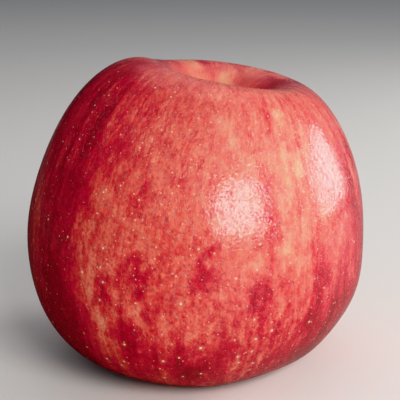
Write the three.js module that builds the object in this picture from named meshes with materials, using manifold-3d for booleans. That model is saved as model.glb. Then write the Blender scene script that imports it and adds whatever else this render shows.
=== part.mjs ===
// A ripe red apple standing on its base, about 84 mm across and 76 mm tall.
// Units are millimetres, +Z is up, and the photograph's viewer looks along +Y with +X to the right.
// The origin lies on the surface the apple stands on, under the middle of its outer box.
// Three pieces: the fruit, grown as one body, its woody stem, and the dried calyx in the base.

import * as THREE from "three";
import { mergeVertices } from "three/addons/utils/BufferGeometryUtils.js";
import Module from "manifold-3d";

// The fruit is drawn from its heart, a point inside it: a rule gives the distance from the heart
// to the skin in every direction, and the polar angle is 0 straight up and PI straight down.
const HEART = new THREE.Vector3(1.36, -0.04, 28.66);
const SIDE_REACH = 42;
const TOP_REACH = 52.5;
const BASE_REACH = 33.4;
const TOP_FULLNESS = 2;
const BASE_FULLNESS = 2.27;
const CORE_LEAN = THREE.MathUtils.degToRad(7.4);

// The two hollows at the ends of the core. Width is a polar angle, steep is the power of its fall,
// and the pinch is the small funnel where the stem or the calyx grows.
const STEM_HOLLOW = { depth: 24.2, width: 0.27, steep: 1.86, pinch: 3, pinchWidth: 0.13 };
const CALYX_HOLLOW = { depth: 12.6, width: 0.43, steep: 2, pinch: 1.5, pinchWidth: 0.12 };

// Belts round the fruit where it swells unevenly: the polar angle of the middle, and the fade.
const SHOULDER = { middle: 0.55, fade: 0.42 };
const WAIST = { middle: 1.5, fade: 0.5 };
const FLANK = { middle: 2.1, fade: 0.35 };
const FOOT = { middle: 2.5, fade: 0.3 };

// Each swell rises by its amount on evenly spaced lobes, one of which faces the given way,
// in degrees anticlockwise from +X seen from above.
const SWELLS = [
  { belt: SHOULDER, lobes: 1, amount: 1.25, facing: 77 },
  { belt: SHOULDER, lobes: 2, amount: 0.85, facing: 41 },
  { belt: SHOULDER, lobes: 3, amount: 0.7, facing: -43 },
  { belt: SHOULDER, lobes: 4, amount: 0.3, facing: 13 },
  { belt: SHOULDER, lobes: 5, amount: 0.15, facing: -23 },
  { belt: WAIST, lobes: 1, amount: 1.05, facing: 172 },
  { belt: WAIST, lobes: 2, amount: 0.3, facing: 35 },
  { belt: WAIST, lobes: 3, amount: 0.4, facing: 54 },
  { belt: FLANK, lobes: 2, amount: 1.45, facing: 57 },
  { belt: FOOT, lobes: 5, amount: 0.25, facing: -18 },
];

// The skin's net of points: spokes round the fruit, rings from pole to pole, and how much the
// rings crowd together in the two hollows.
const SPOKES = 72;
const RINGS = 48;
const CROWDING = 0.6;

// The stem, measured along the core from the floor of its hollow.
const STEM_ROOT = 5;
const STEM_LENGTH = 12;
const STEM_BEND = 1.8;
const STEM_BEND_FACING = THREE.MathUtils.degToRad(200);
const STEM_RADIUS = 1.15;
const STEM_FOOT_SWELL = 0.35;
const STEM_KNOB_SWELL = 0.75;
const STEM_SIDES = 14;
const STEM_STEPS = 22;

// The calyx: a woody button let into the flesh, five dried sepals and a tuft of stamens.
const BUTTON_RADIUS = 2.5;
const BUTTON_LOW = 7.3;
const BUTTON_HIGH = 11.3;
const SEPALS = 5;
const SEPAL_LENGTH = 6.6;
const SEPAL_WIDTH = 3.4;
const SEPAL_THICKNESS = 0.8;
const SEPAL_STEPS = 9;
const SEPAL_SIDES = 10;
const SEPAL_FACING = THREE.MathUtils.degToRad(18);
// Where a sepal leaves the button: out from its middle, and up from its lower face.
const SEPAL_FOOT_OUT = 1.5;
const SEPAL_FOOT_UP = 0.6;
// Long stamens stand nearly straight, and the short ones between them lean outwards.
const STAMENS = 9;
const STAMEN_RADIUS = 0.4;
const STAMEN_FOOT_UP = 0.5;
const LONG_STAMEN = { length: 2.9, lean: 0.2 };
const SHORT_STAMEN = { length: 2.5, lean: 0.9 };

// The clear space kept between the fruit and what is let into it.
const CLEARANCE = 0.3;

const wasm = await Module();
wasm.setup();

// How strongly a belt acts at a polar angle: 1 in its middle, fading like a bell, and 0 at both poles.
function beltStrength(belt, polar) {
  const towardsPole = (Math.sin(polar) / Math.sin(belt.middle)) ** 2;
  return towardsPole * Math.exp(-(((polar - belt.middle) / belt.fade) ** 2));
}

// How far a hollow sinks at an angle from its own pole.
function hollowDepth(hollow, angle) {
  const bowl = hollow.depth * Math.exp(-((angle / hollow.width) ** hollow.steep));
  const funnel = hollow.pinch * Math.exp(-((angle / hollow.pinchWidth) ** 2));
  return bowl + funnel;
}

// The skin's point in the direction given by a polar angle and a turn round the core.
// The direction leans with the core, more towards the top, and the reach in it is that of a
// rounded barrel, plus the swells, less the hollows. The lowest skin is flat where it stands.
function skinPoint(polar, turn) {
  const up = Math.cos(polar);
  const out = Math.sin(polar);
  const way = new THREE.Vector3(out * Math.cos(turn), out * Math.sin(turn), up);
  way.applyAxisAngle(new THREE.Vector3(0, 1, 0), (CORE_LEAN * (1 + up)) / 2);

  const fullness = way.z >= 0 ? TOP_FULLNESS : BASE_FULLNESS;
  const poleReach = way.z >= 0 ? TOP_REACH : BASE_REACH;
  const sideways = (Math.hypot(way.x, way.y) / SIDE_REACH) ** fullness;
  const lengthways = (Math.abs(way.z) / poleReach) ** fullness;
  let reach = (sideways + lengthways) ** (-1 / fullness);

  for (const swell of SWELLS) {
    const facing = THREE.MathUtils.degToRad(swell.facing);
    const wave = Math.cos(swell.lobes * (turn - facing));
    reach += swell.amount * wave * beltStrength(swell.belt, polar);
  }
  reach -= hollowDepth(STEM_HOLLOW, polar);
  reach -= hollowDepth(CALYX_HOLLOW, Math.PI - polar);

  const point = way.multiplyScalar(reach).add(HEART);
  point.z = Math.max(point.z, 0);
  return point;
}

// A closed skin over rings of points, each ring anticlockwise when seen from the last one,
// with a single point that closes each end.
function closedSkin(rings, start, end) {
  const sides = rings[0].length;
  const points = [start, ...rings.flat(), end];
  const corner = (ring, side) => 1 + ring * sides + (side % sides);
  const last = points.length - 1;
  const faces = [];
  for (let side = 0; side < sides; side++) {
    faces.push(0, corner(0, side + 1), corner(0, side));
    for (let ring = 0; ring < rings.length - 1; ring++) {
      const here = corner(ring, side);
      const beside = corner(ring, side + 1);
      const above = corner(ring + 1, side);
      const across = corner(ring + 1, side + 1);
      faces.push(here, beside, across, here, across, above);
    }
    faces.push(last, corner(rings.length - 1, side), corner(rings.length - 1, side + 1));
  }
  const geometry = new THREE.BufferGeometry().setFromPoints(points);
  geometry.setIndex(faces);
  return geometry;
}

function solidOf(geometry) {
  const bare = geometry.clone();
  bare.deleteAttribute("normal");
  bare.deleteAttribute("uv");
  const merged = mergeVertices(bare);
  const mesh = new wasm.Mesh({
    numProp: 3,
    vertProperties: merged.attributes.position.array,
    triVerts: new Uint32Array(merged.index.array),
  });
  return new wasm.Manifold(mesh);
}

function geometryOf(solid) {
  const mesh = solid.getMesh();
  const geometry = new THREE.BufferGeometry();
  geometry.setAttribute("position", new THREE.BufferAttribute(mesh.vertProperties, mesh.numProp));
  geometry.setIndex(new THREE.BufferAttribute(mesh.triVerts, 1));
  geometry.computeVertexNormals();
  return geometry;
}

// A round peg between two points.
function pegBetween(low, high, radius, sides) {
  const along = new THREE.Vector3().subVectors(high, low);
  const peg = new THREE.CylinderGeometry(radius, radius, along.length(), sides);
  const upright = new THREE.Vector3(0, 1, 0);
  const turn = new THREE.Quaternion().setFromUnitVectors(upright, along.clone().normalize());
  peg.applyQuaternion(turn);
  const middle = new THREE.Vector3().addVectors(low, high).multiplyScalar(0.5);
  peg.translate(middle.x, middle.y, middle.z);
  return peg;
}

// A round tube along a path, whose radius is worked out from the share of the path passed.
function tapered(path, radiusAt, steps, sides, capRise) {
  const frames = path.computeFrenetFrames(steps, false);
  const rings = [];
  for (let step = 0; step <= steps; step++) {
    const share = step / steps;
    const middle = path.getPointAt(share);
    const ring = [];
    for (let side = 0; side < sides; side++) {
      const angle = (2 * Math.PI * side) / sides;
      const radius = radiusAt(share, angle);
      const point = middle.clone();
      point.addScaledVector(frames.normals[step], radius * Math.cos(angle));
      point.addScaledVector(frames.binormals[step], radius * Math.sin(angle));
      ring.push(point);
    }
    rings.push(ring);
  }
  const start = path.getPointAt(0).addScaledVector(frames.tangents[0], -capRise);
  const end = path.getPointAt(1).addScaledVector(frames.tangents[steps], capRise);
  return closedSkin(rings, start, end);
}

// The fruit

// The polar angle of a ring: even steps, crowded towards both poles.
function ringPolar(ring) {
  const share = ring / RINGS;
  return Math.PI * (share - (CROWDING * Math.sin(2 * Math.PI * share)) / (2 * Math.PI));
}

const coreWay = new THREE.Vector3(Math.sin(CORE_LEAN), 0, Math.cos(CORE_LEAN));
const hollowFloor = skinPoint(0, 0);

// A point on the core's line, at a height over the floor of the stem's hollow.
const onCore = (height) => hollowFloor.clone().addScaledVector(coreWay, height);

function fruitGeometry() {
  const rings = [];
  for (let ring = RINGS - 1; ring > 0; ring--) {
    const polar = ringPolar(ring);
    const points = [];
    for (let spoke = 0; spoke < SPOKES; spoke++) {
      points.push(skinPoint(polar, (2 * Math.PI * spoke) / SPOKES));
    }
    rings.push(points);
  }
  const skin = solidOf(closedSkin(rings, skinPoint(Math.PI, 0), hollowFloor));

  const stemHoleRadius = STEM_RADIUS + STEM_FOOT_SWELL + CLEARANCE;
  const stemHoleLow = onCore(-STEM_ROOT - 2 * CLEARANCE);
  const stemHole = pegBetween(stemHoleLow, onCore(STEM_ROOT), stemHoleRadius, 24);
  const calyxHoleLow = new THREE.Vector3(HEART.x, HEART.y, 0);
  const calyxHoleHigh = new THREE.Vector3(HEART.x, HEART.y, BUTTON_HIGH + CLEARANCE);
  const calyxHole = pegBetween(calyxHoleLow, calyxHoleHigh, BUTTON_RADIUS + CLEARANCE, 24);
  return geometryOf(skin.subtract(solidOf(stemHole)).subtract(solidOf(calyxHole)));
}

// The stem: rooted in the flesh, bent a little as it rises, ribbed lengthwise, with a swollen
// foot where it leaves the flesh and a knob where it broke off the twig.
function stemGeometry() {
  const bendWay = new THREE.Vector3(Math.cos(STEM_BEND_FACING), Math.sin(STEM_BEND_FACING), 0);
  const whole = STEM_ROOT + STEM_LENGTH;
  const points = [0, 0.3, 0.55, 0.8, 1].map((share) => {
    const height = share * whole - STEM_ROOT;
    const risen = Math.max(height, 0) / STEM_LENGTH;
    return onCore(height).addScaledVector(bendWay, STEM_BEND * risen ** 2);
  });
  const path = new THREE.CatmullRomCurve3(points);
  const footShare = STEM_ROOT / whole;
  const radiusAt = (share, angle) => {
    const foot = STEM_FOOT_SWELL * Math.exp(-(((share - footShare) / 0.22) ** 2));
    const knob = STEM_KNOB_SWELL * Math.exp(-(((share - 0.97) / 0.1) ** 2));
    const ribs = 0.05 * Math.cos(5 * angle);
    return STEM_RADIUS + foot + knob + ribs * (share > footShare ? 1 : 0);
  };
  return tapered(path, radiusAt, STEM_STEPS, STEM_SIDES, 0.35);
}

// One sepal: a leaf-shaped blade with a raised back, which leaves the button, follows the slope
// of the hollow outwards and down, and curls down once more at its tip.
function sepalGeometry(facing, curl) {
  const away = new THREE.Vector3(Math.cos(facing), Math.sin(facing), 0);
  const across = new THREE.Vector3(-Math.sin(facing), Math.cos(facing), 0);
  const foot = new THREE.Vector3(HEART.x, HEART.y, BUTTON_LOW + SEPAL_FOOT_UP);
  foot.addScaledVector(away, SEPAL_FOOT_OUT);
  const rings = [];
  let middle = foot.clone();
  const stride = SEPAL_LENGTH / SEPAL_STEPS;
  for (let step = 0; step <= SEPAL_STEPS; step++) {
    const share = step / SEPAL_STEPS;
    const slope = THREE.MathUtils.degToRad(-62 + 40 * share - curl * share ** 3);
    const along = away.clone().multiplyScalar(Math.cos(slope));
    along.z = Math.sin(slope);
    if (step > 0) middle = middle.clone().addScaledVector(along, stride);
    const back = new THREE.Vector3().crossVectors(along, across);
    const halfWidth = (SEPAL_WIDTH / 2) * Math.sqrt(1 - share ** 2) * (1 - 0.45 * share) + 0.25;
    const halfThick = (SEPAL_THICKNESS / 2) * (1 - 0.25 * share);
    const ring = [];
    for (let side = 0; side < SEPAL_SIDES; side++) {
      const angle = (2 * Math.PI * side) / SEPAL_SIDES;
      const cup = -0.25 * halfWidth * Math.cos(angle) ** 2;
      const point = middle.clone().addScaledVector(across, halfWidth * Math.cos(angle));
      point.addScaledVector(back, halfThick * Math.sin(angle) + cup);
      ring.push(point);
    }
    rings.push(ring);
  }
  const tip = middle.clone().addScaledVector(away, 0.25);
  return closedSkin(rings, foot, tip);
}

// The calyx: button, sepals and stamens grown together as one dry piece.
function calyxGeometry() {
  const low = new THREE.Vector3(HEART.x, HEART.y, BUTTON_LOW);
  const high = new THREE.Vector3(HEART.x, HEART.y, BUTTON_HIGH);
  let dry = solidOf(pegBetween(low, high, BUTTON_RADIUS, 24));
  for (let sepal = 0; sepal < SEPALS; sepal++) {
    const facing = SEPAL_FACING + (2 * Math.PI * sepal) / SEPALS;
    const curl = 26 + 16 * Math.sin(2.3 * sepal);
    dry = dry.add(solidOf(sepalGeometry(facing, curl)));
  }
  for (let stamen = 0; stamen < STAMENS; stamen++) {
    const facing = (2 * Math.PI * stamen) / STAMENS;
    const kind = stamen % 2 ? SHORT_STAMEN : LONG_STAMEN;
    const away = new THREE.Vector3(Math.cos(facing), Math.sin(facing), 0);
    const root = low.clone().add(away);
    root.z += STAMEN_FOOT_UP;
    const end = root.clone().addScaledVector(away, kind.lean);
    end.z -= kind.length;
    dry = dry.add(solidOf(pegBetween(root, end, STAMEN_RADIUS, 6)));
  }
  return geometryOf(dry);
}

const skinFinish = new THREE.MeshStandardMaterial({ color: 0xb8433c, roughness: 0.38, metalness: 0 });
const woodFinish = new THREE.MeshStandardMaterial({ color: 0x6b4a2c, roughness: 0.8, metalness: 0 });
const dryFinish = new THREE.MeshStandardMaterial({ color: 0x6e5b3c, roughness: 0.9, metalness: 0 });

const apple = new THREE.Group();

function addPiece(name, geometry, material) {
  const piece = new THREE.Mesh(geometry, material);
  piece.name = name;
  apple.add(piece);
}

addPiece("fruit", fruitGeometry(), skinFinish);
addPiece("stem", stemGeometry(), woodFinish);
addPiece("calyx", calyxGeometry(), dryFinish);

export default apple;
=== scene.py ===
# %% [markdown]
# # A ripe red apple
# A plain model of an apple is given: a fruit, its stem and the dried calyx under it, at their real
# size. This lesson dresses it. Each piece gets a finer surface, worked out from one formula, and a
# finish made of shader nodes, and then soft light and a camera are set up. Every length is in
# metres in Blender, but the shape's own values are easier to read in millimetres, so they are
# turned into metres in one place.

import bpy
import numpy as np
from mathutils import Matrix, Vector


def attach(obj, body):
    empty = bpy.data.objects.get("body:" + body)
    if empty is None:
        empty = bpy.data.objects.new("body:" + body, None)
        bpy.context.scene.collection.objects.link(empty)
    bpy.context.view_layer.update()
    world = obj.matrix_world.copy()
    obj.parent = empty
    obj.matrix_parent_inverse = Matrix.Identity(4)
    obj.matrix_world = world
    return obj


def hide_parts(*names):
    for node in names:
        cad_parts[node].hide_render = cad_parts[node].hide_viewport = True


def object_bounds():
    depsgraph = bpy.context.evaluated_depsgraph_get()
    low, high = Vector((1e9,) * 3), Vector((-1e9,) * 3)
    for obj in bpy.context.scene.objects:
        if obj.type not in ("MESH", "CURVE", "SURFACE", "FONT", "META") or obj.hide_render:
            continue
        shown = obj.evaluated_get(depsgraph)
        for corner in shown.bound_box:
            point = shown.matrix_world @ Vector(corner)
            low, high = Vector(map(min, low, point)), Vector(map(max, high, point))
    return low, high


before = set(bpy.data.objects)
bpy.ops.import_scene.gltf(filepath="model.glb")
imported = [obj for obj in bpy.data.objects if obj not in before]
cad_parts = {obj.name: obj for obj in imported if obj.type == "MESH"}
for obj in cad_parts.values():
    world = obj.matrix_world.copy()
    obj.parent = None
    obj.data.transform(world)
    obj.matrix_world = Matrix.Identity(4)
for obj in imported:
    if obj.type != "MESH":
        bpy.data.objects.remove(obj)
cad_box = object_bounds()
MM = 0.001
print("pieces of the model:", sorted(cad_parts))
print("its size in mm:", (np.array(cad_box[1]) - np.array(cad_box[0])) / MM)

# %% [markdown]
# ## The camera
# The photograph looks at the apple from the front and a little from above. The ellipse of the rim
# round the stem hollow and the outline of the base together give the height of the viewer, and the
# long lens keeps the sides of the fruit almost parallel.

# %% Camera
CAMERA_PLACE = np.array([1.05, -244.2, 97.2]) * MM
CAMERA_TILT = np.radians(90 - 13.21)
LENS_LENGTH = 90
SENSOR_WIDTH = 36

camera_data = bpy.data.cameras.new("camera")
camera_data.lens = LENS_LENGTH
camera_data.sensor_width = SENSOR_WIDTH
camera_data.clip_start = 0.01
camera = bpy.data.objects.new("camera", camera_data)
camera.location = CAMERA_PLACE
camera.rotation_euler = (CAMERA_TILT, 0, 0)
bpy.context.collection.objects.link(camera)
bpy.context.scene.camera = camera
print("camera at", camera.location, "looking down by", 90 - np.degrees(CAMERA_TILT), "degrees")

# %% [markdown]
# ## The shape of the fruit
# An apple is a rounded barrel with a hollow at each end, and it is never quite even. It could be
# sculpted, or turned like a bowl and then pushed about. Here it is a rule instead: from a point
# inside, the heart, the rule gives the reach to the skin in every direction. A rule can be asked
# for as many points as the picture needs, and the same values made the plain model.

# %% Values of the shape, in millimetres and radians
HEART = np.array([1.36, -0.04, 28.66])
SIDE_REACH = 42
TOP_REACH = 52.5
BASE_REACH = 33.4
TOP_FULLNESS = 2
BASE_FULLNESS = 2.27
CORE_LEAN = np.radians(7.4)

STEM_HOLLOW = dict(depth=24.2, width=0.27, steep=1.86, pinch=3, pinch_width=0.13)
CALYX_HOLLOW = dict(depth=12.6, width=0.43, steep=2, pinch=1.5, pinch_width=0.12)

SHOULDER = dict(middle=0.55, fade=0.42)
WAIST = dict(middle=1.5, fade=0.5)
FLANK = dict(middle=2.1, fade=0.35)
FOOT = dict(middle=2.5, fade=0.3)

SWELLS = [
    dict(belt=SHOULDER, lobes=1, amount=1.25, facing=77),
    dict(belt=SHOULDER, lobes=2, amount=0.85, facing=41),
    dict(belt=SHOULDER, lobes=3, amount=0.7, facing=-43),
    dict(belt=SHOULDER, lobes=4, amount=0.3, facing=13),
    dict(belt=SHOULDER, lobes=5, amount=0.15, facing=-23),
    dict(belt=WAIST, lobes=1, amount=1.05, facing=172),
    dict(belt=WAIST, lobes=2, amount=0.3, facing=35),
    dict(belt=WAIST, lobes=3, amount=0.4, facing=54),
    dict(belt=FLANK, lobes=2, amount=1.45, facing=57),
    dict(belt=FOOT, lobes=5, amount=0.25, facing=-18),
]
print("the fruit has", len(SWELLS), "swells and a core that leans by", np.degrees(CORE_LEAN), "degrees")

# %% The rule for the skin
def bell(value, middle, width):
    """1 in the middle and nearly 0 two widths away: e to the power of minus the square of the way."""
    return np.exp(-(((value - middle) / width) ** 2))


def belt_strength(belt, polar):
    """1 in the belt's middle, falling like a bell on both sides, and 0 at the two poles."""
    towards_pole = (np.sin(polar) / np.sin(belt["middle"])) ** 2
    return towards_pole * bell(polar, belt["middle"], belt["fade"])


def hollow_depth(hollow, angle):
    """Depth of a hollow at an angle from its pole: a wide bowl plus a narrow funnel, both bells."""
    bowl = hollow["depth"] * np.exp(-((angle / hollow["width"]) ** hollow["steep"]))
    funnel = hollow["pinch"] * bell(angle, 0, hollow["pinch_width"])
    return bowl + funnel


def skin_way(polar, turn):
    """The unit direction for a polar angle and a turn: a sphere's, leant with the core at the top."""
    across = np.sin(polar) * np.cos(turn)
    depth = np.sin(polar) * np.sin(turn)
    up = np.cos(polar) + 0 * turn
    lean = CORE_LEAN * (1 + up) / 2
    leant_across = across * np.cos(lean) + up * np.sin(lean)
    leant_up = up * np.cos(lean) - across * np.sin(lean)
    return np.stack([leant_across, depth, leant_up], axis=-1)


def skin_reach(polar, turn):
    """The reach from the heart: a rounded barrel's, plus a wave for each swell, less the hollows."""
    way = skin_way(polar, turn)
    above = way[..., 2] >= 0
    fullness = np.where(above, TOP_FULLNESS, BASE_FULLNESS)
    pole_reach = np.where(above, TOP_REACH, BASE_REACH)
    sideways = (np.hypot(way[..., 0], way[..., 1]) / SIDE_REACH) ** fullness
    lengthways = (np.abs(way[..., 2]) / pole_reach) ** fullness
    reach = (sideways + lengthways) ** (-1 / fullness)
    for swell in SWELLS:
        wave = np.cos(swell["lobes"] * (turn - np.radians(swell["facing"])))
        reach = reach + swell["amount"] * wave * belt_strength(swell["belt"], polar)
    return reach - hollow_depth(STEM_HOLLOW, polar) - hollow_depth(CALYX_HOLLOW, np.pi - polar)


HALF_WAY = np.array(np.pi / 2)
FRONT = np.array(-np.pi / 2)
print("reach of the plain skin to the front:", skin_reach(HALF_WAY, FRONT), "mm")

# %% [markdown]
# The plain model stops there. A real skin has faint waves that break up its reflections, soft folds
# that run down into the stem hollow, and puckers round the calyx. All of them are under half a
# millimetre, so they change the shine and not the outline.

# %% Fine relief of the skin
# Heights are in mm and belts in radians. Sinking the skin keeps its relief inside the plain model.
RELIEF_SUNK = 0.1
WAVE_COUNT = 14
WAVE_HEIGHT = 0.028
FOLD_HEIGHT = 0.11
FOLD_BELT = dict(middle=0.21, fade=0.11)
PUCKER_HEIGHT = 0.22
PUCKER_BELT = dict(middle=0.2, fade=0.13)


def skin_relief(polar, turn):
    """Faint waves from seeded sines, folds in the stem hollow and puckers round the calyx, in mm."""
    draw = np.random.default_rng(7)
    relief = 0 * polar * turn
    for wave in range(WAVE_COUNT):
        round_waves = draw.integers(3, 13)
        down_waves = draw.uniform(3, 12)
        phases = draw.uniform(0, 2 * np.pi, 2)
        swing = np.cos(round_waves * turn + phases[0]) * np.cos(down_waves * polar + phases[1])
        relief = relief + WAVE_HEIGHT * swing
    relief = relief * np.sin(polar) ** 2
    folds = np.cos(7 * turn + 0.6 * np.cos(2 * turn)) + 0.6 * np.cos(12 * turn + 1.3)
    relief = relief + FOLD_HEIGHT * folds * belt_strength(FOLD_BELT, polar)
    puckers = np.cos(10 * turn + 0.5 * np.cos(3 * turn)) + 0.5 * np.cos(5 * turn + 0.4)
    relief = relief + PUCKER_HEIGHT * puckers * belt_strength(PUCKER_BELT, np.pi - polar)
    return relief - RELIEF_SUNK


def skin_points(polar, turn):
    """Points of the skin in metres: heart plus way times reach, flat where the fruit stands."""
    reach = skin_reach(polar, turn) + skin_relief(polar, turn)
    points = HEART + skin_way(polar, turn) * reach[..., None]
    points[..., 2] = np.maximum(points[..., 2], 0)
    return points * MM


print("relief of the skin at the front:", skin_relief(HALF_WAY, FRONT), "mm")

# %% [markdown]
# A net of points needs faces. Rings of points, one above the other, are joined by quads, and each
# end is closed by a fan of triangles round one point, so the mesh has no hole at its poles. The
# same helper makes every piece of this apple: the fruit, the stem, the sepals and the stamens.

# %% Helpers for meshes
def ring_faces(ring_count, side_count):
    """Faces over rings that climb, each anticlockwise from above: quads between, a fan at each end.
    Point 0 closes the start and the last point closes the end."""
    side = np.arange(side_count)
    beside = (side + 1) % side_count
    ring = np.arange(ring_count - 1)[:, None] * side_count + 1
    quads = np.stack(
        [ring + side, ring + beside, ring + side_count + beside, ring + side_count + side], axis=-1
    ).reshape(-1, 4)
    start_fan = np.stack([0 * side, 1 + beside, 1 + side], axis=-1)
    top_ring = 1 + (ring_count - 1) * side_count
    last = 1 + ring_count * side_count
    end_fan = np.stack([0 * side + last, top_ring + side, top_ring + beside], axis=-1)
    return quads, np.concatenate([start_fan, end_fan])


def closed_points(rings, start, end):
    """All points in the order that ring_faces counts them: start, every ring, end."""
    return np.concatenate([np.reshape(start, (1, 3)), rings.reshape(-1, 3), np.reshape(end, (1, 3))])


def make_piece(name, parts):
    """One mesh object from a list of (points, quads, triangles), smooth, at the origin."""
    points, faces, first = [], [], 0
    for part_points, quads, triangles in parts:
        points.append(part_points)
        faces += (quads + first).tolist() + (triangles + first).tolist()
        first += len(part_points)
    mesh = bpy.data.meshes.new(name)
    mesh.from_pydata(np.concatenate(points).tolist(), [], faces)
    mesh.shade_smooth()
    mesh.update()
    piece = bpy.data.objects.new(name, mesh)
    bpy.context.collection.objects.link(piece)
    print(name, "has", len(mesh.vertices), "points and", len(mesh.polygons), "faces")
    return piece


def give_numbers(piece, name, values):
    """Keeps a number or a vector for every point of a piece, for its material to read."""
    kind, key = ("FLOAT_VECTOR", "vector") if values.ndim == 2 else ("FLOAT", "value")
    layer = piece.data.attributes.new(name, kind, "POINT")
    layer.data.foreach_set(key, np.ascontiguousarray(values, dtype=np.float32).ravel())


print("two rings of three points close with", sum(map(len, ring_faces(2, 3))), "faces")

# %% The fruit's fine mesh
# The rings lie closer together towards the two hollows, by the share that CROWDING says.
SPOKES = 360
RINGS = 240
CROWDING = 0.6

ring_share = np.arange(1, RINGS) / RINGS
ring_polar = np.pi * (ring_share - CROWDING * np.sin(2 * np.pi * ring_share) / (2 * np.pi))
spoke_turn = 2 * np.pi * np.arange(SPOKES) / SPOKES
polar_net, turn_net = np.meshgrid(ring_polar[::-1], spoke_turn, indexing="ij")
base_pole = skin_points(np.array(np.pi), np.array(0.0))
stem_pole = skin_points(np.array(0.0), np.array(0.0))
skin_rings = skin_points(polar_net, turn_net)
skin_net = closed_points(skin_rings, base_pole, stem_pole)
apple = make_piece("apple_skin", [(skin_net, *ring_faces(RINGS - 1, SPOKES))])
proud = np.max(skin_net.max(axis=0) - cad_box[1]) / MM
print("the skin stands out of the plain model by at most", proud, "mm")

# %% [markdown]
# ## Where the colour lies
# The skin's red follows the way the fruit grew: streaks run from the stem to the calyx. So each
# point of the mesh keeps two things for the material. One is its place as seen by the pattern, the
# turn round the core written as a circle, and the length of skin passed on the way down from the
# stem, so that a pattern has no seam. The other is how much red pigment there is, from large soft
# patches. Those on the front are placed from the photograph. Those that it does not show
# are drawn by a seeded rule.

# %% Skin places
steps_down = np.linalg.norm(np.diff(skin_rings[::-1], axis=0), axis=-1)
first_step = np.linalg.norm(skin_rings[-1] - stem_pole, axis=-1)
down_rings = (np.concatenate([first_step[None], steps_down]).cumsum(axis=0))[::-1]
skin_down = np.concatenate([[down_rings[0].max()], down_rings.ravel(), [0]])
skin_down_mm = skin_down / MM
skin_turn = np.concatenate([[0], turn_net.ravel(), [0]])
skin_degrees = np.degrees(skin_turn)
circle = SIDE_REACH * MM * np.stack([np.cos(skin_turn), np.sin(skin_turn)], axis=-1)
give_numbers(apple, "grain_place", np.concatenate([circle, skin_down[:, None]], axis=-1))
print("skin from stem to calyx:", down_rings[0].min() / MM, "to", down_rings[0].max() / MM, "mm")

# %% [markdown]
# A patch with a smooth edge looks painted on. The edge of a real blotch wanders by a millimetre or
# so, and that is added here to the distances that the patch is worked out from.

# %% Patches with ragged edges
RAGGED_SINES = 10
RAGGED_LENGTHS = (2.5, 7)
RAGGED_SWING = 0.3
RAGGED_ALONG = 1.6
LEAST_FROM_CORE = 8


def ragged(seed):
    """About a millimetre either way at every point: seeded sines through space, added up."""
    draw = np.random.default_rng(seed)
    ways = draw.normal(size=(RAGGED_SINES, 3))
    ways = ways / np.linalg.norm(ways, axis=1, keepdims=True)
    lengths = draw.uniform(*RAGGED_LENGTHS, RAGGED_SINES)
    phases = skin_net / MM @ (2 * np.pi * ways / lengths[:, None]).T
    phases = phases + draw.uniform(0, 2 * np.pi, RAGGED_SINES)
    return RAGGED_SWING * np.cos(phases).sum(axis=1)


ragged_across = ragged(31)
ragged_along = RAGGED_ALONG * ragged(32)
from_core = np.hypot(skin_net[:, 0] / MM - HEART[0], skin_net[:, 1] / MM - HEART[1])
from_core = np.maximum(from_core, LEAST_FROM_CORE)


def soft_patch(turn, down, half_width, half_length, amount):
    """A bell with ragged edges, centred at a turn in degrees and so many mm down from the stem."""
    apart = np.angle(np.exp(1j * (skin_turn - np.radians(turn))))
    across = (apart * from_core + ragged_across) / half_width
    along = (skin_down_mm - down + ragged_along) / half_length
    return amount * np.exp(-(across**2) - along**2)


def rise(value, middle, width):
    """0 well below the middle and 1 well above it, with a soft step between."""
    return 1 / (1 + np.exp(-(value - middle) / width))


print("edges of patches wander by", np.abs(ragged_across).max(), "mm at most across the grain")

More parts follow.
